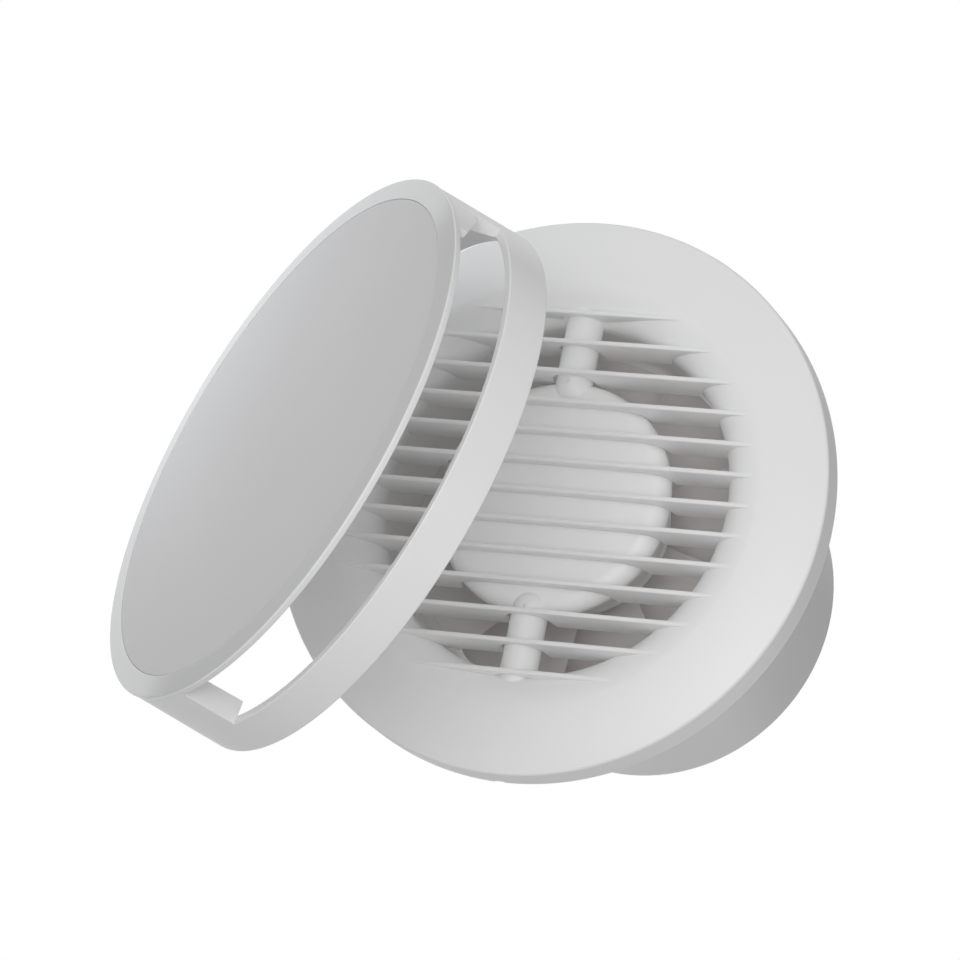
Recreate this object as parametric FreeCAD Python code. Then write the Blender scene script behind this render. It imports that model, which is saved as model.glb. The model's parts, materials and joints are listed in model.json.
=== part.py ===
import FreeCAD, Part
import os
from math import cos, degrees, pi, radians, sin, sqrt

from FreeCAD import Placement, Rotation, Vector

# Round axial exhaust fan for a wall duct, all sizes in millimetres.
# It is drawn on the bench: z points out of the wall into the room, y is up, x is along the slats,
# and the origin is on the fan's axis in the wall plane. The last step stands it up, z up and the room at -Y.

# Duct and wall side
duct_dia = 100.0
duct_play = 0.5
spigot_wall = 2.2
spigot_length = 85.0
spigot_lead_in = 1.2
spigot_relief = 1.0
neck_depth = 0.5
plate_thick = 1.8
plate_play = 0.3
plate_chamfer = 0.5
wall_hole_r = 2.25
wall_hole_offset = 0.9
wall_hole_angle = 20.0

# Front face
face_margin = 25.0
rim_height = 8.7
edge_round = 1.0
face_wall = 2.0
skirt_lift = 0.2
dome_rise = 4.2
dome_bulge = 0.5
bell_radius = 10.9
slat_count = 13
slat_pitch = 8.11
slat_thick = 1.2
slat_depth = 12.0
slat_below_crest = 0.12
slat_relief = 0.8
notch_depth = 1.0
notch_width = 2.7
notch_shift = -0.9

# Motor cup and its two posts
hub_r = 31.8
hub_rear_r = 24.0
hub_wall = 1.8
hub_front = 8.6
hub_crown = 0.9
hub_crown_r = 22.0
hub_shoulder = 4.6
hub_back = -18.0
post_r = 5.0
post_root_r = 4.8
post_overlap = 1.4
post_height = 5.2
post_clear = 0.4
foot_length = 10.0
foot_width = 15.0
foot_thick = 3.0
foot_gap = 0.3
cap_thick = 2.0
cap_lip = 2.5
fit_gap = 0.15
boss_x = 19.6
boss_y = 6.5
boss_r = 3.0
screw_r = 1.4
screw_head_r = 2.6
screw_head = 1.6
screw_depth = 7.0

# Motor
shaft_r = 2.5
shaft_play = 0.03
bearing_r = 4.6
bearing_length = 4.8
bearing_boss_wall = 1.8
bearing_round = 0.6
shaft_chamfer = 0.4
cap_hole_play = 1.0
stack_thick = 11.0
stack_front = -0.5
stack_half_width = 16.0
stack_top = 11.5
stack_round = 2.5
pole_bottom = -11.0
leg_top = -15.2
leg_bottom = -19.4
leg_half = 11.0
window_half = 8.6
air_gap = 0.4
rotor_r = 7.8
rotor_overhang = 0.4
rotor_end_ring = 1.2
rotor_end_step = 1.5
shading_width = 2.2
shading_thick = 1.0
shading_angle = 55.0
bobbin_wall = 0.8
bobbin_flange = 0.8
coil_thick = 1.5
coil_half = 6.2
washer_r = 4.2
washer_thick = 0.5
washer_end_gap = 0.3

# Impeller
blade_count = 9
blade_tip_gap = 1.3
blade_thick = 1.8
blade_camber = 0.14
blade_root_chord = 26.0
blade_tip_chord = 43.0
blade_root_pitch = 40.0
blade_tip_pitch = 18.0
blade_sweep = 9.0
blade_rake = 8.0
wheel_hub_r = 14.0
wheel_hub_wall = 1.8
wheel_hub_length = 17.0
wheel_gap = 3.0
wheel_sleeve_r = 5.0
wheel_nose = 5.0
clip_r = 6.0
clip_thick = 0.8
clip_gap = 0.1
shaft_tail = 2.0

# Mains connection in the hollow between plate and face
terminal_angle = -117.0
terminal_inset = 1.6
terminal_width = 17.0
terminal_deep = 11.0
terminal_high = 6.0
terminal_round = 1.0
terminal_pitch = 8.0
terminal_screw_r = 1.9
terminal_screw_high = 3.0
terminal_slot = 0.6
grommet_angle = -147.0
grommet_hole_r = 5.0
grommet_bore_r = 3.0
grommet_lip = 1.8
grommet_lip_high = 1.6
clamp_angle = -134.0
clamp_length = 17.0
clamp_width = 5.0
clamp_thick = 2.4
clamp_arch = 1.2
clamp_hole_circle = 6.2
seat_gap = 0.1

# Front cover, drawn closed and then swung open
cover_inset = 1.5
cover_draft = 0.5
cover_depth = 28.4
cover_wall = 2.5
cover_rim_thick = 2.7
cover_band = 11.0
cover_gap = 0.4
bevel_width = 5.8
bevel_rise = 1.2
top_post_angle = 90.0
bottom_post_angle = 270.0
post_half_angle = 19.8
post_rib_depth = 4.2
post_rib_thick = 2.0
gusset_angle = 13.2
gusset_drop = 6.6
gusset_flat = 2.3
gusset_ramp = 10.5
panel_thick = 1.8
panel_recess = 0.4
panel_gap = 0.2
panel_ledge = 5.0
panel_round = 0.4
cover_open_angle = 45.69
pivot_outset = 2.67
pivot_up = 11.18
pivot_out = 3.03
pivot_lean_side = 7.96
pivot_lean_out = 23.41

# Sizes that follow from the ones above
face_r = duct_dia / 2 + face_margin
spigot_r = duct_dia / 2 - duct_play
bore_r = spigot_r - spigot_wall
neck_r = spigot_r - neck_depth
plate_r = face_r - face_wall - plate_play
crest_r = bore_r + bell_radius
crest_z = rim_height + dome_rise
throat_z = crest_z - bell_radius
slat_front = crest_z - slat_below_crest
cover_rear_r = face_r - cover_inset
cover_rim_r = cover_rear_r - cover_draft
cover_inner_r = cover_rear_r - cover_wall
pivot_left = face_r + pivot_outset
hub_inner_r = hub_rear_r - hub_wall
hub_ceiling = hub_front - hub_crown - hub_wall
stack_back = stack_front - stack_thick
stator_bore_r = rotor_r + air_gap
rotor_front = stack_front + rotor_overhang
rotor_back = stack_back - rotor_overhang
front_bearing_z = rotor_front + washer_thick + 2 * washer_end_gap
rear_bearing_top = rotor_back - washer_thick - 2 * washer_end_gap
cap_back = hub_back - cap_thick
wheel_front = cap_back - wheel_gap
wheel_back = wheel_front - wheel_hub_length
blade_mid_z = wheel_front - wheel_hub_length / 2
blade_tip_r = bore_r - blade_tip_gap
clip_z = wheel_back - clip_gap - clip_thick
shaft_back = clip_z - shaft_tail
foot_r = spigot_r + foot_gap + foot_length
foot_top = plate_thick + foot_thick
ring_middle_r = (spigot_r + plate_r) / 2
wall_hole_circle_r = ring_middle_r + wall_hole_offset
terminal_circle_r = ring_middle_r - terminal_inset

X = Vector(1, 0, 0)
Y = Vector(0, 1, 0)
Z = Vector(0, 0, 1)
O = Vector(0, 0, 0)


def rz(r, z):
    """A point of a profile in the XZ half plane."""
    return Vector(r, 0, z)


def line(a, b):
    return Part.LineSegment(a, b).toShape()


def arc(a, mid, b):
    return Part.Arc(a, mid, b).toShape()


def outline(points):
    """A closed wire of straight sides through the points."""
    return Part.makePolygon(points + points[:1])


def solid_of(edges, sweep=360.0, start=0.0):
    """A closed profile in the XZ half plane, turned about z from start through sweep degrees."""
    shape = Part.Face(Part.Wire(edges)).revolve(O, Z, sweep)
    shape.rotate(O, Z, start)
    return shape


def ring(outer, inner, low, high, sweep=360.0, start=0.0):
    """A ring, or a sector of one, with a rectangular section."""
    section = outline([rz(inner, low), rz(outer, low), rz(outer, high), rz(inner, high)])
    return solid_of(section.Edges, sweep, start)


def disc(radius, low, high, x=0.0, y=0.0):
    return Part.makeCylinder(radius, high - low, Vector(x, y, low), Z)


def block(x0, x1, y0, y1, z0, z1):
    return Part.makeBox(x1 - x0, y1 - y0, z1 - z0, Vector(x0, y0, z0))


def turned(shape, angle):
    """A copy turned about the fan's axis."""
    copy = shape.copy()
    copy.rotate(O, Z, angle)
    return copy


def around(angle, radius):
    """The place at an angle and a distance from the axis, x axis pointing outwards."""
    turn = Placement(Vector(0, 0, 0), Rotation(Z, angle))
    return turn.multiply(Placement(Vector(radius, 0, 0), Rotation()))


def at(shape, placement):
    """A copy set at a placement."""
    copy = shape.copy()
    copy.Placement = placement.multiply(copy.Placement)
    return copy


def joined(first, *others):
    return first.fuse(list(others)).removeSplitter()


# The domed face is an arc between the crest and the rounded edge, bulging over its chord.
dome_outer = rz(face_r - edge_round, rim_height)
dome_inner = rz(crest_r, crest_z)
chord = dome_outer.sub(dome_inner)
chord_normal = Vector(-chord.z, 0, chord.x).normalize()
chord_middle = dome_inner.add(dome_outer).multiply(0.5)
dome_mid = chord_middle.add(chord_normal * dome_bulge)
dome_radius = (chord.Length / 2) ** 2 / (2 * dome_bulge) + dome_bulge / 2
dome_centre = dome_mid.sub(chord_normal * dome_radius)


def dome_z(r, inset=0.0):
    """Height of the face at a radius, or of its inner side when inset by the wall."""
    return dome_centre.z + sqrt((dome_radius - inset) ** 2 - (r - dome_centre.x) ** 2)


cover_seat = dome_z(cover_inner_r) + cover_gap


def hub_profile(grow, back):
    """Outline of the motor cup, grown by a distance: crowned front, round shoulder, tapered side."""
    side = hub_r + grow
    front = hub_front + grow
    flat = hub_crown_r
    turn = hub_shoulder + grow
    low = front - hub_crown
    start = rz(side - turn, low)
    end = rz(side, low - turn)
    bend = rz(side - turn + turn * sin(pi / 4), low - turn + turn * cos(pi / 4))
    crown = arc(rz(0, front), rz(flat / 2, front - hub_crown / 4), rz(flat, low))
    edges = [crown]
    if start.x - flat > 0.01:
        edges.append(line(rz(flat, low), start))
    rear = rz(hub_rear_r + grow, back)
    edges += [arc(start, bend, end), line(end, rear), line(rear, rz(0, back))]
    edges.append(line(rz(0, back), rz(0, front)))
    return edges


def post(grow, length):
    """A round post, grown by a distance: from a half ball on the motor cup's shoulder out to a length along y."""
    start = Vector(0, hub_r - post_overlap, post_height)
    stem = Part.makeCone(post_root_r + grow, post_r + grow, length - start.y, start, Y)
    return stem.fuse(Part.makeSphere(post_root_r + grow, start))


def foot_holes(radius, low, high):
    """Screw holes for the two feet, at 12 and 6 o'clock."""
    place = foot_r - foot_length / 2
    return [disc(radius, low, high, 0, place), disc(radius, low, high, 0, -place)]


def duct_spigot():
    """Tube that goes into the duct, tapered at its end, with a shallow neck behind and inside the base plate."""
    lead = spigot_lead_in
    tip = -spigot_length
    section = [
        rz(bore_r, tip),
        rz(spigot_r - lead / 2, tip),
        rz(spigot_r, tip + lead),
        rz(spigot_r, -spigot_relief),
        rz(neck_r, -spigot_relief),
        rz(neck_r, plate_thick),
        rz(bore_r, plate_thick),
    ]
    return solid_of(outline(section).Edges)


def base_plate():
    """Flat ring round the spigot's neck with holes for the wall screws, the cable and its own small screws."""
    plate = ring(plate_r, neck_r + seat_gap, 0, plate_thick)
    cuts = [Part.makeCone(spigot_r + seat_gap, neck_r + seat_gap, plate_chamfer)]
    for side in (0.0, 180.0):
        for lean in (-wall_hole_angle, wall_hole_angle):
            hole = disc(wall_hole_r, -1, plate_thick + 1, wall_hole_circle_r)
            cuts.append(turned(hole, side + lean))
    cuts += foot_holes(screw_r, -1, plate_thick + 1)
    cuts.append(at(disc(grommet_hole_r, -1, plate_thick + 1), around(grommet_angle, ring_middle_r)))
    for shift in (-1, 1):
        reach = ring_middle_r + shift * clamp_hole_circle
        cuts.append(at(disc(screw_r, -1, plate_thick + 1), around(clamp_angle, reach)))
    return plate.cut(cuts)


def face_shell():
    """Side wall, rounded edge, dome and bell-mouth of the face, open where the motor's posts pass."""
    wall = face_wall
    edge = edge_round
    corner = edge * (1 - cos(pi / 4))
    bell = rz(crest_r, throat_z)
    outer_bell = rz(bell.x - bell_radius * cos(pi / 4), bell.z + bell_radius * sin(pi / 4))
    inner = bell_radius - wall
    inner_bell = rz(bell.x - inner * cos(pi / 4), bell.z + inner * sin(pi / 4))
    inside_r = face_r - wall
    inside_top = dome_z(inside_r, wall)
    low = rz(crest_r, crest_z - wall)
    start = rz(crest_r, dome_z(crest_r, wall))
    far_r = (crest_r + inside_r) / 2
    edges = [
        line(rz(face_r, skirt_lift), rz(face_r, rim_height - edge)),
        arc(rz(face_r, rim_height - edge), rz(face_r - corner, rim_height - corner), dome_outer),
        arc(dome_outer, dome_mid, dome_inner),
        arc(dome_inner, outer_bell, rz(bore_r, throat_z)),
        line(rz(bore_r, throat_z), rz(bore_r + wall, throat_z)),
        arc(rz(bore_r + wall, throat_z), inner_bell, low),
        line(low, start) if abs(start.z - low.z) > 0.001 else None,
        arc(start, rz(far_r, dome_z(far_r, wall)), rz(inside_r, inside_top)),
        line(rz(inside_r, inside_top), rz(inside_r, skirt_lift)),
        line(rz(inside_r, skirt_lift), rz(face_r, skirt_lift)),
    ]
    shell = solid_of([edge for edge in edges if edge])
    gate = post_r + post_clear
    slots = []
    for way in (0, 180):
        slots.append(turned(Part.makeCylinder(gate, crest_r, Vector(0, 0, post_height), Y), way))
        slots.append(turned(block(-gate, gate, hub_r, crest_r, throat_z - 1, post_height), way))
    half = notch_width / 2
    notch = block(notch_shift - half, notch_shift + half, -face_r - 1, -face_r + face_wall + 0.5,
                  0, skirt_lift + notch_depth)
    return shell.cut(slots + [notch])


def grille_slats():
    """Horizontal slats across the bell-mouth, their rear edges relieved round the motor cup and its posts."""
    back = slat_front - slat_depth
    slats = []
    for index in range(slat_count):
        height = (index - (slat_count - 1) / 2) * slat_pitch
        reach = sqrt(crest_r ** 2 - height ** 2)
        low, high = height - slat_thick / 2, height + slat_thick / 2
        slats.append(block(-reach, reach, low, high, back, slat_front))
    reach = bell_radius + seat_gap
    throat_r = crest_r - reach
    middle = rz(crest_r - reach * cos(pi / 4), throat_z + reach * sin(pi / 4))
    room = solid_of([
        line(rz(0, back - 1), rz(throat_r, back - 1)),
        line(rz(throat_r, back - 1), rz(throat_r, throat_z)),
        arc(rz(throat_r, throat_z), middle, rz(crest_r, throat_z + reach)),
        line(rz(crest_r, throat_z + reach), rz(0, throat_z + reach)),
        line(rz(0, throat_z + reach), rz(0, back - 1)),
    ])
    relief = [solid_of(hub_profile(slat_relief, hub_back))]
    for way in (0, 180):
        relief.append(turned(post(slat_relief, crest_r), way))
    return Part.makeCompound(slats).common(room).cut(relief)


def motor_housing():
    """Domed cup open to the back, two round posts with feet on the base plate, boss for the front bearing."""
    cup = solid_of(hub_profile(0, hub_back))
    room = solid_of(hub_profile(-hub_wall, hub_back - 1))
    below = block(-foot_width, foot_width, bore_r - foot_gap, foot_r + 1, -foot_width, plate_thick)
    stem = post(0, foot_r).cut(below)
    foot = block(-foot_width / 2, foot_width / 2, spigot_r + foot_gap, foot_r, plate_thick, foot_top)
    posts = [turned(shape, way) for shape in (stem, foot) for way in (0, 180)]
    shell = joined(cup, *posts).cut([room])
    boss_out, boss_in = bearing_r + bearing_boss_wall, bearing_r + fit_gap / 3
    boss = ring(boss_out, boss_in, front_bearing_z, hub_front - hub_wall).common(cup)
    bosses = []
    for x in (-boss_x, boss_x):
        for y in (-boss_y, boss_y):
            bosses.append(disc(boss_r, hub_back, hub_ceiling, x, y).common(cup))
    shell = joined(shell, boss, *bosses)
    holes = foot_holes(screw_r, plate_thick - 1, hub_front + post_r)
    holes += foot_holes(screw_head_r + fit_gap, foot_top - screw_head, hub_front + post_r)
    for x in (-boss_x, boss_x):
        for y in (-boss_y, boss_y):
            holes.append(disc(screw_r, hub_back - 1, hub_back + screw_depth + 1, x, y))
    return shell.cut(holes)


def motor_cap():
    """Rear lid of the motor cup with a centring lip and the rear bearing's boss."""
    plate = ring(hub_rear_r, shaft_r + cap_hole_play, cap_back, hub_back)
    lip = ring(hub_inner_r - fit_gap, hub_inner_r - fit_gap - hub_wall, hub_back, hub_back + cap_lip)
    boss = ring(bearing_r + bearing_boss_wall, bearing_r + fit_gap / 3, hub_back, rear_bearing_top)
    cap = joined(plate, lip, boss)
    cuts = []
    for x in (-boss_x, boss_x):
        for y in (-boss_y, boss_y):
            cuts.append(disc(boss_r + fit_gap, hub_back, hub_back + cap_lip + 1, x, y))
            cuts.append(disc(screw_r + fit_gap, cap_back - 1, hub_back + 1, x, y))
    return cap.cut(cuts)


def screw(x, y, head_z, way, length):
    """A pan-head screw: head on a surface, shank pointing along way (+1 or -1) in z."""
    head = Part.makeCylinder(screw_head_r, screw_head, Vector(x, y, head_z), Vector(0, 0, -way))
    shank = Part.makeCylinder(screw_r - seat_gap, length, Vector(x, y, head_z), Vector(0, 0, way))
    crown = Part.makeCylinder(screw_head_r * 0.45, screw_head / 2,
                              Vector(x, y, head_z - way * screw_head), Vector(0, 0, way))
    return joined(head, shank).cut([crown])


def motor_cap_screws():
    screws = []
    for x in (-boss_x, boss_x):
        for y in (-boss_y, boss_y):
            screws.append(screw(x, y, cap_back - seat_gap, 1, cap_thick + screw_depth))
    return Part.makeCompound(screws)


def post_screws():
    """Screws through the feet of the two motor posts into the base plate."""
    place = foot_r - foot_length / 2
    seat = foot_top - screw_head
    length = seat - seat_gap
    return Part.makeCompound([screw(0, y, seat + seat_gap, -1, length) for y in (place, -place)])


def stator_core():
    """Laminated iron: round bore between two poles, two side limbs and the coil's leg below."""
    w = stack_half_width
    points = [
        Vector(-w, stack_top, 0), Vector(-w, leg_top, 0), Vector(-leg_half, leg_bottom, 0),
        Vector(leg_half, leg_bottom, 0), Vector(w, leg_top, 0), Vector(w, stack_top, 0),
    ]
    sheet = Part.Face(outline(points)).extrude(Vector(0, 0, stack_thick))
    sheet.translate(Vector(0, 0, stack_back))
    corners = [e for e in sheet.Edges if e.tangentAt(e.FirstParameter).isParallel(Z, 0.01)]
    sheet = sheet.makeFillet(stack_round, corners)
    window = block(-window_half, window_half, leg_top, pole_bottom, stack_back - 1, stack_front + 1)
    bore = disc(stator_bore_r, stack_back - 1, stack_front + 1)
    gap = block(-air_gap, air_gap, pole_bottom - 1, 0, stack_back - 1, stack_front + 1)
    slots = []
    half = shading_thick / 2 + fit_gap
    reach = stator_bore_r + shading_width + fit_gap
    for way in (0, 180):
        slot = block(stator_bore_r - 1, reach, -half, half, stack_back - 1, stack_front + 1)
        slots.append(turned(slot, shading_angle + way))
    return sheet.cut([window, bore, gap] + slots)


def shading_rings():
    """Copper bars of the shading rings, one in a slot of each pole."""
    bars = []
    half = shading_thick / 2
    low, top = stack_back - shading_thick, stack_front + shading_thick
    for way in (0, 180):
        bar = block(stator_bore_r + fit_gap, stator_bore_r + shading_width, -half, half, low, top)
        bars.append(turned(bar, shading_angle + way))
    return Part.makeCompound(bars)


def sleeve_round_leg(grow, thick, half_length):
    """A rectangular tube round the coil's leg, grown from the leg by a distance."""
    y0, y1 = leg_bottom - grow, leg_top + grow
    z0, z1 = stack_back - grow, stack_front + grow
    outer = block(-half_length, half_length, y0 - thick, y1 + thick, z0 - thick, z1 + thick)
    along = [e for e in outer.Edges if abs(e.tangentAt(e.FirstParameter).x) > 0.99]
    outer = outer.makeFillet(thick * 0.9, along)
    return outer.cut(block(-half_length - 1, half_length + 1, y0, y1, z0, z1))


def coil_bobbin():
    tube = sleeve_round_leg(fit_gap, bobbin_wall, coil_half + bobbin_flange)
    reach = bobbin_wall + coil_thick
    flanges = []
    for way in (-1, 1):
        flange = sleeve_round_leg(fit_gap, reach, bobbin_flange / 2)
        flange.translate(Vector(way * (coil_half + bobbin_flange / 2), 0, 0))
        flanges.append(flange)
    return joined(tube, *flanges)


def stator_coil():
    return sleeve_round_leg(2 * fit_gap + bobbin_wall, coil_thick - 2 * fit_gap, coil_half - fit_gap)


def bearing(low):
    """A plain sleeve bush with rounded ends."""
    shape = ring(bearing_r, shaft_r + shaft_play, low, low + bearing_length)
    ends = [e for e in shape.Edges if abs(e.Length - 2 * pi * bearing_r) < 0.01]
    return shape.makeFillet(bearing_round, ends)


def motor_shaft():
    shape = disc(shaft_r, shaft_back, front_bearing_z + bearing_length - seat_gap)
    ends = [e for e in shape.Edges if e.Curve.TypeId == "Part::GeomCircle"]
    return shape.makeChamfer(shaft_chamfer, ends)


def motor_rotor():
    """Squirrel-cage rotor: iron between two end rings, tight on the shaft."""
    end = rotor_end_ring
    step_r = rotor_r - rotor_end_step
    section = [
        rz(shaft_r + shaft_play, rotor_back),
        rz(step_r, rotor_back),
        rz(step_r, rotor_back + end),
        rz(rotor_r, rotor_back + end),
        rz(rotor_r, rotor_front - end),
        rz(step_r, rotor_front - end),
        rz(step_r, rotor_front),
        rz(shaft_r + shaft_play, rotor_front),
    ]
    return solid_of(outline(section).Edges)


def thrust_washers():
    front = rotor_front + washer_end_gap
    back = rotor_back - washer_end_gap - washer_thick
    inner = shaft_r + shaft_play
    return Part.makeCompound([ring(washer_r, inner, z, z + washer_thick) for z in (front, back)])


def blade_section(x, chord_length, pitch, lag, lead):
    """Cambered section of a blade in the plane at distance x: two arcs from nose to tail."""
    across_half = chord_length / 2 * cos(pitch)
    along_half = chord_length / 2 * sin(pitch)
    nose = Vector(x, lag + across_half, blade_mid_z + lead + along_half)
    tail = Vector(x, lag - across_half, blade_mid_z + lead - along_half)
    across = Vector(0, -sin(pitch), cos(pitch))
    centre = nose.add(tail).multiply(0.5)
    bow = blade_camber * chord_length
    top = centre.add(Vector(across).multiply(bow + blade_thick / 2))
    low = centre.add(Vector(across).multiply(bow - blade_thick / 2))
    return Part.Wire([arc(nose, top, tail), arc(tail, low, nose)])


def impeller():
    """Axial fan wheel: cup-shaped hub with a sleeve on the shaft, twisted, swept and raked blades."""
    wall = wheel_hub_wall
    nose = wheel_nose
    bend = nose * (1 - cos(pi / 4))
    hub = solid_of([
        line(rz(wheel_sleeve_r, wheel_front), rz(wheel_hub_r, wheel_front)),
        line(rz(wheel_hub_r, wheel_front), rz(wheel_hub_r, wheel_back + nose)),
        arc(rz(wheel_hub_r, wheel_back + nose), rz(wheel_hub_r - bend, wheel_back + bend),
            rz(wheel_hub_r - nose, wheel_back)),
        line(rz(wheel_hub_r - nose, wheel_back), rz(shaft_r + shaft_play, wheel_back)),
        line(rz(shaft_r + shaft_play, wheel_back), rz(shaft_r + shaft_play, wheel_front)),
        line(rz(shaft_r + shaft_play, wheel_front), rz(wheel_sleeve_r, wheel_front)),
    ])
    room = ring(wheel_hub_r - wall, wheel_sleeve_r, wheel_back + nose, wheel_front + 1)
    hub = hub.cut(room)
    inside = wheel_hub_r - wall / 2
    stations = []
    for share in (0.0, 0.5, 1.0):
        x = inside * 0.8 + (blade_tip_r + 2 - inside * 0.8) * share
        chord_length = blade_root_chord + (blade_tip_chord - blade_root_chord) * share
        pitch = radians(blade_root_pitch + (blade_tip_pitch - blade_root_pitch) * sqrt(share))
        lead = blade_rake * max(0.0, 2 * share - 1)
        stations.append(blade_section(x, chord_length, pitch, blade_sweep * share ** 2, lead))
    blade = Part.makeLoft(stations, True, False)
    room = ring(blade_tip_r, inside, wheel_back - blade_tip_chord, wheel_front + blade_tip_chord)
    shape = room.common(blade)
    blades = [turned(shape, 360.0 / blade_count * index) for index in range(blade_count)]
    return joined(hub, *blades)


def impeller_clip():
    """Push-on spring clip behind the impeller: a dished washer gripping the shaft."""
    return ring(clip_r, shaft_r + shaft_play, clip_z, clip_z + clip_thick)


def terminal_block():
    """Two-pole terminal block standing on the base plate, with wire mouths and screw wells."""
    w, d = terminal_width / 2, terminal_deep / 2
    low = plate_thick
    top = low + terminal_high
    body = block(-d, d, -w, w, low, top)
    uprights = [e for e in body.Edges if abs(e.tangentAt(e.FirstParameter).z) > 0.99]
    body = body.makeFillet(terminal_round, uprights)
    cuts = []
    for y in (-terminal_pitch / 2, terminal_pitch / 2):
        cuts.append(disc(terminal_screw_r + fit_gap, top - terminal_screw_high, top + 1, 0, y))
        mouth = Part.makeCylinder(terminal_screw_r * 0.8, terminal_deep * 0.4,
                                  Vector(-d - 1, y, low + terminal_high * 0.35), X)
        cuts.append(mouth)
    return at(body.cut(cuts), around(terminal_angle, terminal_circle_r))


def terminal_screws():
    top = plate_thick + terminal_high
    low = top - terminal_screw_high + seat_gap
    screws = []
    for y in (-terminal_pitch / 2, terminal_pitch / 2):
        body = disc(terminal_screw_r, low, top - terminal_screw_high * 0.3, 0, y)
        slot_low = top - terminal_screw_high * 0.6
        half = terminal_slot / 2
        slot = block(-terminal_screw_r, terminal_screw_r, y - half, y + half, slot_low, top)
        screws.append(body.cut(slot))
    return at(Part.makeCompound(screws), around(terminal_angle, terminal_circle_r))


def cable_grommet():
    """Rubber inlet in the base plate: a lip on the room side and a grooved neck through the hole."""
    r = grommet_hole_r - seat_gap
    low = seat_gap
    top = plate_thick + seat_gap
    section = [
        rz(grommet_bore_r, low),
        rz(r, low),
        rz(r, top),
        rz(grommet_hole_r + grommet_lip, top),
        rz(grommet_hole_r + grommet_lip * 0.6, top + grommet_lip_high),
        rz(grommet_bore_r, top + grommet_lip_high),
    ]
    return at(solid_of(outline(section).Edges), around(grommet_angle, ring_middle_r))


def cable_clamp():
    """Strain-relief bar: flat ends on the plate and a raised middle over the cable."""
    l, w = clamp_length / 2, clamp_width / 2
    low = plate_thick + seat_gap
    bar = block(-l, l, -w, w, low, low + clamp_thick + clamp_arch)
    steps = []
    for way in (-1, 1):
        x = way * (clamp_hole_circle - screw_head_r - fit_gap)
        side = block(min(x, way * (l + 1)), max(x, way * (l + 1)), -w - 1, w + 1,
                     low + clamp_thick, low + clamp_thick + clamp_arch + 1)
        steps.append(side)
        steps.append(disc(screw_r + fit_gap, low - 1, low + clamp_thick + 1, way * clamp_hole_circle))
    under = Part.makeCylinder(clamp_arch * 2, clamp_width + 2, Vector(0, -w - 1, low - clamp_arch * 0.8), Y)
    return at(bar.cut(steps + [under]), around(clamp_angle, ring_middle_r))


def clamp_screws():
    seat = plate_thick + seat_gap + clamp_thick + seat_gap
    screws = []
    for way in (-1, 1):
        screws.append(screw(way * clamp_hole_circle, 0, seat, -1, seat - seat_gap))
    return at(Part.makeCompound(screws), around(clamp_angle, ring_middle_r))


def cover_frame():
    """Front cover: bevelled rim with a ledge for the panel, two wide posts with ribs, and the rear band."""
    rim_back = cover_depth - cover_rim_thick
    band_top_r = cover_rear_r + (cover_rim_r - cover_rear_r) * cover_band / cover_depth
    panel_r = cover_rim_r - bevel_width
    floor = cover_depth + bevel_rise - panel_recess - panel_thick
    rim = solid_of(outline([
        rz(panel_r - panel_ledge, rim_back),
        rz(cover_rim_r, rim_back),
        rz(cover_rim_r, cover_depth),
        rz(panel_r, cover_depth + bevel_rise),
        rz(panel_r, floor),
        rz(panel_r - panel_ledge, floor),
    ]).Edges)
    band = solid_of(outline([
        rz(cover_inner_r, 0),
        rz(cover_rear_r, 0),
        rz(band_top_r, cover_band),
        rz(cover_inner_r, cover_band),
    ]).Edges)
    posts = []
    skin = outline([
        rz(cover_inner_r, cover_band),
        rz(band_top_r, cover_band),
        rz(cover_rim_r, rim_back),
        rz(cover_inner_r, rim_back),
    ]).Edges
    rib_r = cover_inner_r - post_rib_depth
    rib_angle = degrees(post_rib_thick / cover_inner_r)
    taper = solid_of(outline([
        rz(rib_r - 1, cover_band),
        rz(cover_inner_r, cover_band),
        rz(rib_r, rim_back),
        rz(rib_r - 1, rim_back),
    ]).Edges)
    for middle in (top_post_angle, bottom_post_angle):
        start = middle - post_half_angle
        posts.append(solid_of(skin, 2 * post_half_angle, start))
        for rib_start in (start, middle + post_half_angle - rib_angle):
            rib = ring(cover_inner_r + cover_wall / 2, rib_r, cover_band, rim_back, rib_angle, rib_start)
            posts.append(rib.cut(taper) if middle == top_post_angle else rib)
    corner_start = top_post_angle - post_half_angle - gusset_angle
    low = rim_back - gusset_drop
    corner = ring(cover_rim_r, cover_inner_r, low, rim_back, gusset_angle, corner_start)
    ramp = Part.Face(outline([
        Vector(rib_r, 0, low),
        Vector(rib_r, gusset_ramp, low),
        Vector(rib_r, 0, rim_back - gusset_flat),
    ])).extrude(X * (4 * post_rib_depth))
    corner = corner.cut(turned(ramp, corner_start))
    return joined(band, rim, corner, corner.mirror(O, X), *posts)


def front_panel():
    """Flat disc let into the cover's rim, a little below the bevel's edge."""
    top = cover_depth + bevel_rise - panel_recess
    radius = cover_rim_r - bevel_width - panel_gap
    low = top - panel_thick + seat_gap
    shape = disc(radius, low, top)
    return shape.makeFillet(panel_round, [e for e in shape.Edges if e.BoundBox.ZMin > top - 0.01])


# The cover hangs by its left edge: its swing axis leans sideways and outwards from upright.
swing_axis = Rotation(X, pivot_lean_out).multVec(Rotation(Z, -pivot_lean_side).multVec(Y))
swing_point = Vector(-pivot_left, pivot_up, rim_height + pivot_out)
swing_open = Placement(Vector(0, 0, 0), Rotation(swing_axis, -cover_open_angle), swing_point)
seat_cover = Placement(Vector(0, 0, cover_seat), Rotation())

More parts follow.
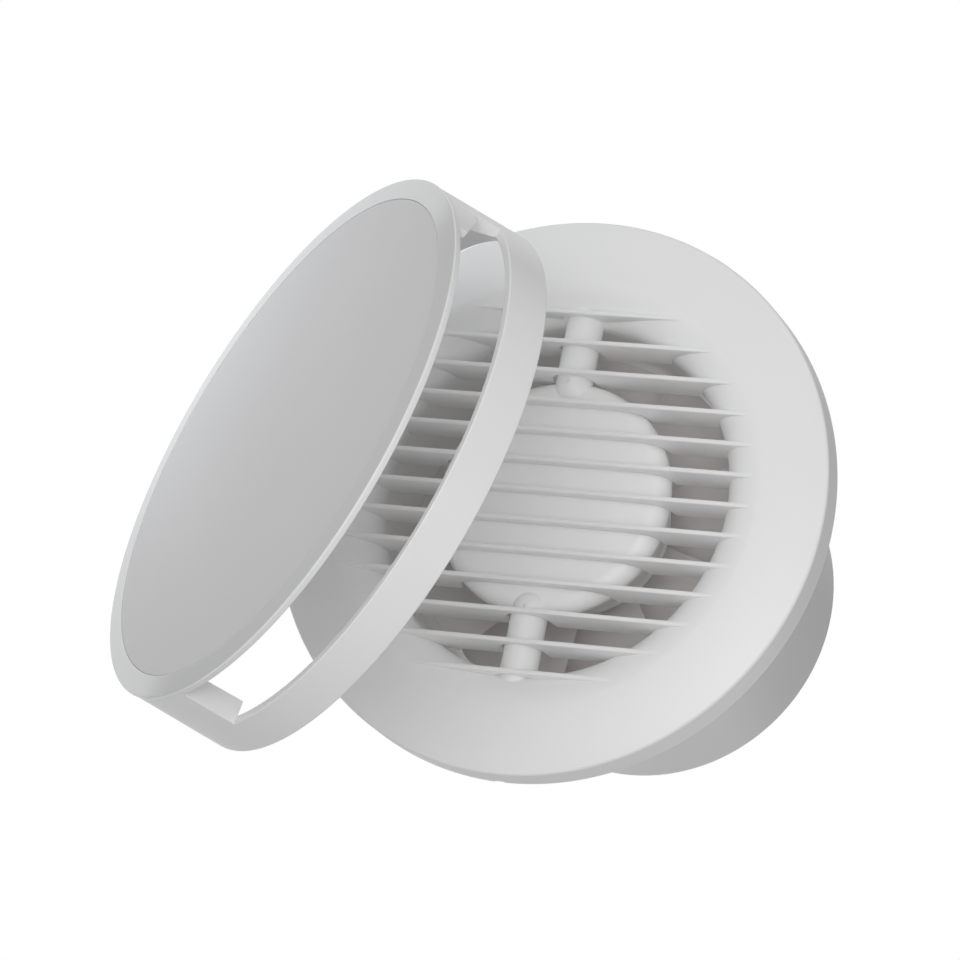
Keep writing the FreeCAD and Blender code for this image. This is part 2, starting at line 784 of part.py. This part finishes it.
pieces = {
    "duct_spigot": duct_spigot(),
    "base_plate": base_plate(),
    "face_shell": face_shell(),
    "grille_slats": grille_slats(),
    "motor_housing": motor_housing(),
    "motor_cap": motor_cap(),
    "motor_cap_screws": motor_cap_screws(),
    "post_screws": post_screws(),
    "stator_core": stator_core(),
    "shading_rings": shading_rings(),
    "coil_bobbin": coil_bobbin(),
    "stator_coil": stator_coil(),
    "front_bearing": bearing(front_bearing_z),
    "rear_bearing": bearing(rear_bearing_top - bearing_length),
    "terminal_block": terminal_block(),
    "terminal_screws": terminal_screws(),
    "cable_grommet": cable_grommet(),
    "cable_clamp": cable_clamp(),
    "clamp_screws": clamp_screws(),
    "motor_shaft": motor_shaft(),
    "motor_rotor": motor_rotor(),
    "thrust_washers": thrust_washers(),
    "impeller": impeller(),
    "impeller_clip": impeller_clip(),
    "cover_frame": at(cover_frame(), swing_open.multiply(seat_cover)),
    "front_panel": at(front_panel(), swing_open.multiply(seat_cover)),
}

# Stand the fan up against the wall and write each piece.
upright = Placement(Vector(0, 0, 0), Rotation(X, 90))
os.makedirs("parts", exist_ok=True)
for name, shape in pieces.items():
    placed = at(shape, upright)
    solids = placed.Solids
    if not placed.isValid() or not solids:
        raise RuntimeError(name + " is not a valid solid")
    result = solids[0] if len(solids) == 1 else Part.makeCompound(solids)
    result.exportStep("parts/" + name + ".step")

axis_up = upright.Rotation.multVec(swing_axis)
point_up = upright.multVec(swing_point)
print("cover swing axis", [round(v, 5) for v in axis_up], "point", [round(v, 3) for v in point_up])
print("cover seat", round(cover_seat, 3), "crest", round(crest_r, 2), round(crest_z, 2))
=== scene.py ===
import json
from math import pi, radians

import bmesh
import bpy
import numpy as np
from mathutils import Matrix, Vector


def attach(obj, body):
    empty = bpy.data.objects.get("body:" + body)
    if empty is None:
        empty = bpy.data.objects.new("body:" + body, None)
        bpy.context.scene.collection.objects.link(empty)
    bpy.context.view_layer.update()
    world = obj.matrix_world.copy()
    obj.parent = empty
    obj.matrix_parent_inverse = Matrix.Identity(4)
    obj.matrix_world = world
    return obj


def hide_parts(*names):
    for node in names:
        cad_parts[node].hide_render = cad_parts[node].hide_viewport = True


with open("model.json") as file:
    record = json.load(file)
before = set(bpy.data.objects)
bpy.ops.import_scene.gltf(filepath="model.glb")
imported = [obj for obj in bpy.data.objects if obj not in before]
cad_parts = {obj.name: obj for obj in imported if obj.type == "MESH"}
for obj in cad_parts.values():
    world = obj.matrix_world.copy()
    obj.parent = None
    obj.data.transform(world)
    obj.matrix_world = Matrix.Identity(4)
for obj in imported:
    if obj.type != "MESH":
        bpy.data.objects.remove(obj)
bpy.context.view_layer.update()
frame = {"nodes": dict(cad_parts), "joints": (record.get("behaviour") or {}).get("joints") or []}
nodes = frame["nodes"]


# Base plate and spigot. One white moulding: the plate is screwed to the wall and the spigot goes into the duct.
# The solids' own shapes are right, so merged copies with smooth rounds stand for them.

class Value:
    """A socket in a node tree. Arithmetic on it adds Math nodes, and node() adds any other kind."""

    def __init__(self, tree, socket=None):
        self.tree = tree
        self.socket = socket

    def node(self, kind, settings, places=None, out=0, **named):
        """A node of that kind: settings first, then its sockets by place or by name, from numbers or links."""
        made = self.tree.nodes.new(kind)
        for key, setting in settings.items():
            setattr(made, key, setting)
        for key, value in {**(places or {}), **named}.items():
            if isinstance(value, Value):
                self.tree.links.new(value.socket, made.inputs[key])
            else:
                made.inputs[key].default_value = value
        return Value(self.tree, made.outputs[out])

    def output(self, name):
        """Another output of the node that this socket belongs to."""
        return Value(self.tree, self.socket.node.outputs[name])

    def feed(self, node, name):
        """Links this socket to a node's input."""
        self.tree.links.new(self.socket, node.inputs[name])

    def maths(self, operation, first, second):
        """A Math node on two numbers or links."""
        return self.node("ShaderNodeMath", {"operation": operation}, {0: first, 1: second})

    def __add__(self, other):
        return self.maths("ADD", self, other)

    def __sub__(self, other):
        return self.maths("SUBTRACT", self, other)

    def __rsub__(self, other):
        return self.maths("SUBTRACT", other, self)

    def __mul__(self, other):
        return self.maths("MULTIPLY", self, other)

    __radd__ = __add__
    __rmul__ = __mul__


def moulded_plastic(name, colour, roughness, grain):
    """Injection-moulded plastic: colour and roughness drift a little over the piece, and a fine grain dents it.
    Where the mesh's attribute for it is 1 the mould was polished, so the skin is glossier, and there the colour is
    painted a shade darker as painted shade."""
    drift_scale, drift_shade, drift_roughness = 22.0, 0.975, 0.08
    grain_scale, grain_height = 2600.0, 0.0001
    bevel_painted_shade, polish_gloss = 0.8, 0.72
    material = bpy.data.materials.new(name)
    material.use_nodes = True
    shader = material.node_tree.nodes["Principled BSDF"]
    tree = Value(material.node_tree)
    place = tree.node("ShaderNodeTexCoord", {}, out=3)
    drift = tree.node("ShaderNodeTexNoise", {}, Vector=place, Scale=drift_scale, Detail=2.0)
    fine = tree.node("ShaderNodeTexNoise", {}, Vector=place, Scale=grain_scale, Detail=1.0)
    polish_and_shade = tree.node("ShaderNodeAttribute", {"attribute_name": "polish_and_shade"}, out=2)
    plain, dull, deep = ((*(part * c for c in colour), 1) for part in (1, drift_shade, bevel_painted_shade))
    tint = tree.node("ShaderNodeMix", {"data_type": "RGBA"}, {0: drift, 6: plain, 7: dull}, out=2)
    # Where the polished share is 1 the colour turns to a darker copy of itself: painted shade.
    skin = tree.node("ShaderNodeMix", {"data_type": "RGBA"}, {0: polish_and_shade, 6: tint, 7: deep}, out=2)
    bump = tree.node("ShaderNodeBump", {}, Strength=grain, Distance=grain_height, Height=fine)
    skin.feed(shader, "Base Color")
    ((roughness + drift_roughness * (drift - 0.5)) * (1 - polish_gloss * polish_and_shade)).feed(shader, "Roughness")
    bump.feed(shader, "Normal")
    return material


def shade(work, crease):
    """Smooth shading, except over edges that are sharper than the crease or don't join two faces."""
    for face in work.faces:
        face.smooth = True
    for edge in work.edges:
        edge.smooth = len(edge.link_faces) == 2 and edge.calc_face_angle(0.0) < crease


def stand_for(node, name, mesh, material, body):
    """An object with that mesh and finish, which stands for a solid and rides on its body."""
    mesh.materials.clear()
    mesh.materials.append(material)
    made = bpy.data.objects.new(name, mesh)
    bpy.context.scene.collection.objects.link(made)
    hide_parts(node)
    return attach(made, body)


def smooth_copy(node, body, material, crease=radians(28)):
    """A copy of a solid's mesh with the corners of its loose triangles merged."""
    merge_distance = 1e-6
    mesh = nodes[node].data.copy()
    work = bmesh.new()
    work.from_mesh(mesh)
    bmesh.ops.remove_doubles(work, verts=work.verts, dist=merge_distance)
    shade(work, crease)
    work.to_mesh(mesh)
    work.free()
    return stand_for(node, node + "_looks", mesh, material, body)


body_white = moulded_plastic("white_body_plastic", (0.93, 0.93, 0.93), 0.42, 0.05)
smooth_copy("base_plate", "fan_body", body_white)
smooth_copy("duct_spigot", "fan_body", body_white)


# Motor inside its cup. Iron sheets, copper winding and bronze bushes, closed in behind the face.
# None of it shows from outside, so the solids carry their finish as they are.

def worked_metal(name, colour, roughness, streak):
    """Bare metal: its roughness follows a noise that is stretched by a factor along each axis."""
    streak_scale, streak_roughness = 60.0, 0.2
    material = bpy.data.materials.new(name)
    material.use_nodes = True
    shader = material.node_tree.nodes["Principled BSDF"]
    tree = Value(material.node_tree)
    place = tree.node("ShaderNodeTexCoord", {}, out=3)
    stretched = tree.node("ShaderNodeMapping", {}, {0: place}, Scale=streak)
    noise = tree.node("ShaderNodeTexNoise", {}, Vector=stretched, Scale=streak_scale, Detail=3.0)
    (roughness + streak_roughness * (noise - 0.5)).feed(shader, "Roughness")
    shader.inputs["Base Color"].default_value = (*colour, 1)
    shader.inputs["Metallic"].default_value = 1.0
    return material


def finish_solids(material, *names):
    """Gives solids a finish and leaves their shapes as they are."""
    for name in names:
        nodes[name].data.materials.clear()
        nodes[name].data.materials.append(material)


core_iron = worked_metal("laminated_iron", (0.33, 0.33, 0.34), 0.5, (1, 40, 1))
copper = worked_metal("enamelled_copper", (0.72, 0.34, 0.18), 0.32, (30, 1, 30))
bronze = worked_metal("sintered_bronze", (0.55, 0.38, 0.22), 0.55, (1, 1, 1))
ground_steel = worked_metal("ground_steel", (0.58, 0.59, 0.60), 0.28, (1, 30, 1))
cream_nylon = moulded_plastic("cream_nylon", (0.74, 0.72, 0.65), 0.5, 0.1)
finish_solids(core_iron, "stator_core", "motor_rotor")
finish_solids(copper, "shading_rings", "stator_coil")
finish_solids(bronze, "front_bearing", "rear_bearing")
finish_solids(ground_steel, "motor_shaft", "impeller_clip")
finish_solids(cream_nylon, "coil_bobbin", "thrust_washers")


# Motor cup, its two posts and its lid. White mouldings: the posts' feet are screwed to the base plate,
# the lid closes the cup from behind, and the cup's domed front shows between the slats.
smooth_copy("motor_housing", "fan_body", body_white)
smooth_copy("motor_cap", "fan_body", body_white)


# Screws. Small pan heads of zinc-plated steel.
# They hold the lid, the posts' feet, the cable clamp and the wires in the terminal block.
zinc_plate = worked_metal("zinc_plate", (0.63, 0.63, 0.64), 0.35, (4, 4, 4))
finish_solids(zinc_plate, "motor_cap_screws", "post_screws", "terminal_screws", "clamp_screws")


# Mains connection in the space between plate and face. A terminal block of cream nylon, a black rubber inlet
# for the cable in the plate's hole, and a white clamp bar that two screws press on the cable.
grommet_rubber = moulded_plastic("black_rubber", (0.03, 0.03, 0.03), 0.7, 0.2)
finish_solids(cream_nylon, "terminal_block")
finish_solids(grommet_rubber, "cable_grommet")
finish_solids(body_white, "cable_clamp")


# Fan wheel. One off-white moulding, pushed on the motor's shaft behind the lid and held by a clip.
# Its blades show dimly past the cup.
wheel_white = moulded_plastic("white_wheel_plastic", (0.74, 0.72, 0.705), 0.4, 0.05)
smooth_copy("impeller", "rotor", wheel_white, radians(40))


# Front face. One white moulding: side wall, domed face, bell-mouth into the duct, and thin slats across it.
# The slats' fronts lie just under the crest, so their ends run out to points. It clips on over the base plate.
face_r = 75.0
face_wall = 2.0
face_step = 1.5
rim_height = 8.7
edge_round = 1.0
edge_turn = 68
edge_row = 0.3
skirt_lift = 0.2
skirt_ease = 0.15
skirt_row = 0.4
skirt_inner_ease = 0.2
crest_r = 58.2
crest_z = 12.9
dome_bulge = 0.5
dome_inset = 0.7
dome_drop = 0.05
dome_back_inset = 0.5
dome_back_lift = 0.3
bell_radius = 10.9
bell_ease = 0.3
throat_z = crest_z - bell_radius
bore_r = crest_r - bell_radius
notch_angle = -90.9
notch_width = 2.7
notch_top = 1.2
notch_reach = 0.5
notch_blend = 0.03
slat_count = 13
slat_pitch = 8.11
slat_thick = 1.2
slat_depth = 12.0
slat_ease = 0.35
slat_foot = 0.9
slat_foot_share = 0.97
slat_front = crest_z - 0.12
slat_end = 0.7
slat_relief = 0.8
hub_front = 8.6
hub_drop = 0.9
hub_shoulder = 4.6
hub_shoulder_r = 27.2
post_r = 5.0
post_start = 30.4
post_height = 5.2


def in_row(points):
    """Bench millimetres (x along the slats, y up, z out of the wall) to the row's metres: (x, -z, y) / 1000."""
    points = np.asarray(points, float)
    return np.stack([points[..., 0], -points[..., 2], points[..., 1]], -1) / 1000


def bow(start, end, bulge, count):
    """Points on an arc from start to end that stands off its chord by bulge: chord point plus bulge times 1 - s^2."""
    s = np.linspace(-1, 1, count)[:, None]
    start, end = np.array(start), np.array(end)
    along = end - start
    normal = np.array([along[1], -along[0]]) / np.hypot(*along)
    return (start + end) / 2 + along / 2 * s + normal * bulge * (1 - s ** 2)


def quarter(centre, radius, first, last, count):
    """Points on a circle round centre from one angle to another, in degrees."""
    t = np.radians(np.linspace(first, last, count))
    return np.stack([centre[0] + radius * np.cos(t), centre[1] + radius * np.sin(t)], -1)


def quads(rows, columns, wrap_rows=False):
    """Faces of a grid of points: its columns join back to their start, and so do its rows where they wrap."""
    i = np.arange(rows if wrap_rows else rows - 1)[:, None]
    j = np.arange(columns)[None]
    a = i * columns + j
    b = i * columns + (j + 1) % columns
    c = (i + 1) % rows * columns + (j + 1) % columns
    d = (i + 1) % rows * columns + j
    return np.stack([a, b, c, d], -1).reshape(-1, 4)


def lathe(profile, angles):
    """Surface of revolution: (r cos t, r sin t, h) for each point (r, h) of a closed profile and each angle t."""
    t = np.radians(angles)[:, None]
    r, h = profile[:, 0][None], profile[:, 1][None]
    points = np.stack([r * np.cos(t), r * np.sin(t), h + 0 * t], -1)
    return points, quads(len(angles), len(profile), True)


def piece(name, surfaces, body, node, material):
    """One object from several grids: doubles merged, open ends closed and normals turned outwards.
    A surface is a grid of points, its faces and, where the mould was polished and shade is painted, a share of 0 to 1
    for the points."""
    crease = radians(32)
    merge_distance = 1e-7
    points, faces, polish_and_shade, count = [], [], [], 0
    for grid, quad, *polish_and_shade_share in surfaces:
        points.append(grid.reshape(-1, 3))
        # The share makes the skin glossier and darkens its colour as painted shade.
        polish_and_shade.append(np.broadcast_to(polish_and_shade_share[0] if polish_and_shade_share else 0.0, grid.shape[:2]).ravel())
        faces.append(quad + count)
        count += len(points[-1])
    mesh = bpy.data.meshes.new(name)
    mesh.from_pydata(np.concatenate(points).tolist(), [], np.concatenate(faces).tolist())
    mesh.attributes.new("polish_and_shade", "FLOAT", "POINT").data.foreach_set("value", np.concatenate(polish_and_shade))
    work = bmesh.new()
    work.from_mesh(mesh)
    bmesh.ops.remove_doubles(work, verts=work.verts, dist=merge_distance)
    bmesh.ops.dissolve_degenerate(work, edges=work.edges, dist=merge_distance)
    bmesh.ops.holes_fill(work, edges=work.edges, sides=0)
    bmesh.ops.recalc_face_normals(work, faces=work.faces)
    shade(work, crease)
    work.to_mesh(mesh)
    work.free()
    return stand_for(node, name, mesh, material, body)


def slat_back(x, y):
    """Rear edge of the slat at height y: the full depth, or less where the motor cup, a post or the bell comes first.
    Each of them is a circle's height over a distance, the root of radius^2 - distance^2, grown by the relief."""
    nowhere = -99.0
    r = np.hypot(x, y)
    turn = hub_shoulder + slat_relief
    low = hub_front - hub_drop - hub_shoulder
    shoulder = low + np.sqrt(np.maximum(turn ** 2 - np.maximum(r - hub_shoulder_r, 0) ** 2, 0))
    crown = hub_drop * np.maximum(1 - (r / hub_shoulder_r) ** 2, 0)
    cup = np.where(r < hub_shoulder_r + turn, shoulder + crown, nowhere)
    over_post = (post_r + slat_relief) ** 2 - x ** 2 - np.maximum(post_start - abs(y), 0) ** 2
    post = np.where(over_post > 0, post_height + np.sqrt(np.maximum(over_post, 0)), nowhere)
    bell_height = throat_z + np.sqrt(np.maximum(bell_radius ** 2 - (crest_r - r) ** 2, 0))
    bell = np.where(r > bore_r, bell_height - face_wall / 2, nowhere)
    return np.maximum.reduce([np.full_like(r, slat_front - slat_depth), cup, post, bell])


def slat(y):
    """A slat at height y: a section with a rounded front carried along x, as deep as its rear edge allows."""
    reach = np.sqrt((crest_r - slat_end) ** 2 - y ** 2)
    x = reach * np.sin(np.linspace(-pi / 2, pi / 2, 161))
    deep = (slat_front - slat_back(x, y))[:, None]
    t = np.linspace(0, pi, 9)
    across = slat_thick / 2 * np.concatenate([np.cos(t), [-1, -slat_foot, slat_foot, 1]])
    down = np.concatenate([slat_ease * (1 - np.sin(t)), [0, 0, 0, 0]])
    share = np.concatenate([0 * t, [slat_foot_share, 1, 1, slat_foot_share]])
    section = (len(x), len(across))
    grid = np.stack([
        np.broadcast_to(x[:, None], section),
        np.broadcast_to(y + across, section),
        slat_front - np.maximum(share * deep, 0) - down * np.minimum(deep / 2, 1),
    ], -1)
    return in_row(grid), quads(*section)


inner_r = face_r - face_wall
outer = np.concatenate([
    [(face_r, skirt_lift + skirt_ease), (face_r, skirt_lift + skirt_row), (face_r, rim_height - edge_round - edge_row)],
    quarter((face_r - edge_round, rim_height - edge_round), edge_round, 0, edge_turn, 9),
    bow((face_r - dome_inset, rim_height - dome_drop), (crest_r, crest_z), dome_bulge, 30),
    quarter((crest_r, throat_z), bell_radius, 91, 180, 40),
])
inner = np.concatenate([
    [(bore_r + bell_ease, throat_z), (bore_r + face_wall, throat_z)],
    quarter((crest_r, throat_z), bell_radius - face_wall, 180, 90, 24),
    bow((crest_r + dome_back_inset, crest_z - face_wall - dome_drop),
        (inner_r, rim_height - face_wall + dome_back_lift), -dome_bulge, 12),
    [(inner_r, skirt_lift + skirt_inner_ease), (inner_r + skirt_inner_ease, skirt_lift),
     (face_r - skirt_ease, skirt_lift)],
])
notch_half = np.degrees(notch_width / 2 / face_r)
notch_edges = notch_angle + np.array([-notch_half - notch_blend, -notch_half, notch_half, notch_half + notch_blend])
angles = np.sort(np.concatenate([np.arange(-180, 180, face_step), notch_edges]))
shell, shell_faces = lathe(np.concatenate([outer, inner]), angles)
cut = (angles >= notch_edges[1]) & (angles <= notch_edges[2])
wall = np.hypot(shell[..., 0], shell[..., 1]) > inner_r - notch_reach
shell[..., 2] = np.where(cut[:, None] & wall, np.maximum(shell[..., 2], notch_top), shell[..., 2])
slats = [slat((k - (slat_count - 1) / 2) * slat_pitch) for k in range(slat_count)]
face_white = moulded_plastic("white_face_plastic", (0.92, 0.92, 0.92), 0.4, 0.05)
front_face = piece("front_face", [(in_row(shell), shell_faces)] + slats,
                   "fan_body", "face_shell", face_white)
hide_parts("grille_slats")


# Front cover. One white moulding taken off the face: a bevelled rim, two wide posts with ribs at their ends,
# and a plain band behind. It is drawn closed and swung to its place about the cover's own joint.
cover_rear_r = 73.5
cover_rim_r = 73.0
cover_inner_r = 71.0
cover_depth = 28.4
cover_seat = 10.223
cover_step = 1.25
cover_band = 11.0
band_round = 0.35
band_top_r = cover_rear_r + (cover_rim_r - cover_rear_r) * cover_band / cover_depth
rim_back = cover_depth - 2.7
rim_edge_r = 73.2
rim_edge = cover_depth - 0.9
rim_rounds = (0.3, 0.3, 0.45, 0.15, 0.1, 0.2)
bevel_width = 5.8
bevel_top = cover_depth - 0.4
panel_r = cover_rim_r - bevel_width
panel_thick = 1.2
panel_recess = 0.05
panel_ledge = 5.0
panel_top = bevel_top - panel_recess
panel_floor = panel_top - panel_thick
post_half_angle = 19.8
post_rib_depth = 4.2
post_rib_thick = 2.0
post_rib_at_top_band = 0.1
gusset_angle = 13.2
gusset_drop = 6.6
gusset_flat = 2.3
gusset_share = 0.64
root = 0.3
swing = next(joint for joint in frame["joints"] if joint["name"] == "cover_swing")


def opened(points):
    """Closed cover millimetres to the row's metres: lifted to its seat, then turned back by the swing's range."""
    closed = in_row(points + np.array([0, 0, cover_seat]))
    pivot = np.array(swing["pos_m"])
    turn = np.array(Matrix.Rotation(-radians(swing["range_deg"][1]), 3, Vector(swing["axis"])))
    return (closed - pivot) @ turn.T + pivot


def eased(corners, radius):
    """A closed outline with each corner c rounded: points (1-s)^2 a + 2s(1-s) c + s^2 b, where a and b lie on the
    corner's sides a radius away. A further point on each side keeps the shading flat beyond them."""
    beyond = 1.4
    corner = np.array(corners, float)
    before = np.roll(corner, 1, 0) - corner
    after = np.roll(corner, -1, 0) - corner
    size = np.broadcast_to(radius, len(corner))[:, None, None]
    before = (before / np.linalg.norm(before, axis=1)[:, None])[:, None] * size
    after = (after / np.linalg.norm(after, axis=1)[:, None])[:, None] * size
    s = np.linspace(0, 1, 5)[None, :, None]
    c = corner[:, None]
    curve = (1 - s) ** 2 * (c + before) + 2 * s * (1 - s) * c + s ** 2 * (c + after)
    return np.concatenate([c + before * beyond, curve, c + after * beyond], 1).reshape(-1, 2)


def cover_post(middle, rib_at_band):
    """A post: a plan of outer arc, end ribs and inner arc, carried from the band to the rim as the ribs deepen."""
    half = post_half_angle
    inside = half - np.degrees(post_rib_thick / cover_inner_r)
    sweep = np.linspace(-half, half, 41)
    back = -sweep[4:-4]
    rows = []
    for height, skin, depth in ((cover_band - root, band_top_r, rib_at_band),
                                (rim_back + root, cover_rim_r, post_rib_depth)):
        rib_r = cover_inner_r - depth
        plan = np.concatenate([
            np.stack([sweep, np.full_like(sweep, skin)], -1),
            [(half, rib_r), (inside, rib_r), (inside, cover_inner_r)],
            np.stack([back, np.full_like(back, cover_inner_r)], -1),
            [(-inside, cover_inner_r), (-inside, rib_r), (-half, rib_r)],
        ])
        t = np.radians(plan[:, 0] + middle)
        rows.append(np.stack([plan[:, 1] * np.cos(t), plan[:, 1] * np.sin(t), height + 0 * t], -1))
    return opened(np.stack(rows)), quads(2, len(rows[0]))


def cover_gusset(side):
    """A thin web from the rim into the top post's corner: its lower edge falls along a ramp towards the post."""
    share = np.linspace(0, 1, 15)[:, None]
    t = np.radians(90 + side * (post_half_angle + gusset_angle * (1 - share) - root))
    drop = gusset_flat + (gusset_drop - gusset_flat) * np.minimum(share / gusset_share, 1)
    radius = np.array([[cover_inner_r, cover_rim_r, cover_rim_r, cover_inner_r]])
    height = rim_back + np.array([[root, root, 0, 0]]) - drop * np.array([[0, 0, 1, 1]])
    grid = np.stack([radius * np.cos(t), radius * np.sin(t), height + 0 * t], -1)
    return opened(grid), quads(15, 4)


rim_outline = eased([
    (panel_r - panel_ledge, rim_back), (cover_rim_r, rim_back), (rim_edge_r, rim_edge),
    (panel_r, bevel_top), (panel_r, panel_floor), (panel_r - panel_ledge, panel_floor),
], rim_rounds)
band_outline = eased([
    (cover_inner_r, 0), (cover_rear_r, 0), (band_top_r, cover_band), (cover_inner_r, cover_band),
], band_round)
turns = np.arange(0, 360, cover_step)
rim, rim_faces = lathe(rim_outline, turns)
band, band_faces = lathe(band_outline, turns)
near = 0.01
# The bevel gets the polished, glossier skin, and its colour is darkened there as painted shade.
on_bevel = (rim_outline[:, 1] > rim_edge - near) & (rim_outline[:, 0] > panel_r - near)
cover_white = moulded_plastic("white_cover_plastic", (0.88, 0.88, 0.88), 0.34, 0.04)
piece("cover", [
    (opened(rim), rim_faces, on_bevel * 1.0), (opened(band), band_faces),
    cover_post(90, post_rib_at_top_band), cover_post(270, post_rib_depth), cover_gusset(1), cover_gusset(-1),
], "cover", "cover_frame", cover_white)


# Front panel. A flat satin disc, let into the cover's rim and resting on its ledge; its grey colour is painted shade
# and painted reflection on white plastic.
# It lies a hair below the bevel's edge, and only a fine seam shows round it.
panel_gap = 0.05
panel_round = 0.25
panel_row = 0.9
panel_back = panel_floor + 0.1
disc_r = panel_r - panel_gap
disc_outline = np.concatenate([
    [(0, panel_top), (disc_r / 2, panel_top), (disc_r - panel_row, panel_top)],
    quarter((disc_r - panel_round, panel_top - panel_round), panel_round, 90, 0, 6),
    [(disc_r, panel_back), (disc_r / 2, panel_back), (0, panel_back)],
])
disc, disc_faces = lathe(disc_outline, turns)
# The disc's grey is a darker copy of the white plastic: painted shade and painted reflection of a grey surround.
panel_painted_shade = moulded_plastic("panel_plastic_painted_shade", (0.65, 0.64, 0.64), 0.3, 0.03)
piece("cover_panel", [(opened(disc), disc_faces)], "cover", "front_panel", panel_painted_shade)


# Studio floor. A plain pale sheet far below the fan, which hangs on no wall here.
# To the camera, mirrors and glass most of it shows as white, and it sends on light as the pale paint that it is.
floor_level = -1.6
floor_half = 12.0
floor_whiteness = 0.8


def rays(tree):
    """Whether a ray comes from the camera, from a mirror or through glass: three sockets of 0 or 1."""
    path = tree.node("ShaderNodeLightPath", {})
    return [path.output(name) for name in ("Is Camera Ray", "Is Glossy Ray", "Is Transmission Ray")]


floor_mesh = bpy.data.meshes.new("floor")
corners = floor_half * np.array([(-1, -1), (1, -1), (1, 1), (-1, 1)])
floor_mesh.from_pydata([(x, y, floor_level) for x, y in corners.tolist()], [], [(0, 1, 2, 3)])
floor_paint = bpy.data.materials.new("pale_floor")
floor_paint.use_nodes = True
floor_shader = floor_paint.node_tree.nodes["Principled BSDF"]
floor_shader.inputs["Base Color"].default_value = (0.7, 0.7, 0.7, 1)
floor_shader.inputs["Roughness"].default_value = 0.8
ground = Value(floor_paint.node_tree)
seen, mirrored, through = rays(ground)
white_share = floor_whiteness * ground.maths("MAXIMUM", ground.maths("MAXIMUM", seen, mirrored), through)
painted = Value(floor_paint.node_tree, floor_shader.outputs["BSDF"])
white = ground.node("ShaderNodeEmission", {}, Strength=1.0)
mixed = ground.node("ShaderNodeMixShader", {}, {0: white_share, 1: painted, 2: white})
mixed.feed(floor_paint.node_tree.nodes["Material Output"], "Surface")
floor_mesh.materials.append(floor_paint)
floor = bpy.data.objects.new("floor", floor_mesh)
bpy.context.scene.collection.objects.link(floor)


# Studio light. A white surround for the camera, which lights the fan evenly and a little more from the left.
# Glossy skin sees a white screen behind on the left instead, and soft lamps stand in front and close on the left.
sky_level = 0.49
sky_left = 0.1
screen_level = 0.95
screen_lean = 0.405
cool_white = (0.85, 0.92, 1.0)

world = bpy.data.worlds.new("studio")
world.use_nodes = True
bpy.context.scene.world = world
background = world.node_tree.nodes["Background"]
background.inputs["Color"].default_value = (1, 1, 1, 1)
surround = Value(world.node_tree)
seen, mirrored, through = rays(surround)
shown = surround.maths("MAXIMUM", seen, through)
ways = surround.node("ShaderNodeSeparateXYZ", {}, {0: surround.node("ShaderNodeTexCoord", {})})
side, behind = ways.output("X"), ways.output("Y")
screen = surround.maths("GREATER_THAN", behind + screen_lean * side, 0.0) * surround.maths("LESS_THAN", side, 0.0)
sky = sky_level + sky_left * surround.maths("MAXIMUM", 0 - side, 0.0)
level = shown + (1 - shown) * (sky + mirrored * (screen_level * screen - sky))
level.feed(background, "Strength")


def soft_lamp(name, place, power, size, colour=(1, 1, 1), in_gloss=True):
    """A square area lamp at a place in metres, aimed at the fan. The camera doesn't see it, gloss may show it."""
    lamp = bpy.data.lights.new(name, "AREA")
    lamp.energy = power
    lamp.color = colour
    lamp.size = size
    made = bpy.data.objects.new(name, lamp)
    made.visible_camera = False
    made.visible_glossy = in_gloss
    aim = (-Vector(place)).to_track_quat("-Z", "Y").to_matrix().to_4x4()
    made.matrix_world = Matrix.Translation(place) @ aim
    bpy.context.scene.collection.objects.link(made)


soft_lamp("front_lamp", (0.45, -1.2, -0.25), 5.0, 0.8)
soft_lamp("middle_lamp", (0.05, -1.3, -0.05), 2.2, 0.8)
soft_lamp("left_lamp", (-0.177, -0.015, 0.071), 0.1, 0.12, cool_white, in_gloss=False)


# Camera. It stands below and to the right of the fan, where the photograph was taken from: its place, turn and lens
# were fitted to the outlines of the face, the spigot, the slats and the cover.
camera_place = (0.48664, -1.17951, -0.35157)
camera_right = (0.921, 0.3414, 0.1875)
camera_back = (0.3823, -0.8845, -0.2673)
right, back = Vector(camera_right).normalized(), Vector(camera_back).normalized()
up = back.cross(right).normalized()
right = up.cross(back)
camera = bpy.data.objects.new("camera", bpy.data.cameras.new("camera"))
camera.data.lens = 191.78
camera.data.sensor_width = 36.0
camera.data.clip_start = 0.05
camera.data.clip_end = 60.0
camera.matrix_world = Matrix.Translation(camera_place) @ Matrix((right, up, back)).transposed().to_4x4()
bpy.context.scene.collection.objects.link(camera)
bpy.context.scene.camera = camera
bpy.context.scene.view_settings.view_transform = "Standard"

# Light goes on many times between the white walls inside the grille.
bpy.context.scene.cycles.diffuse_bounces = 16
bpy.context.scene.cycles.max_bounces = 20
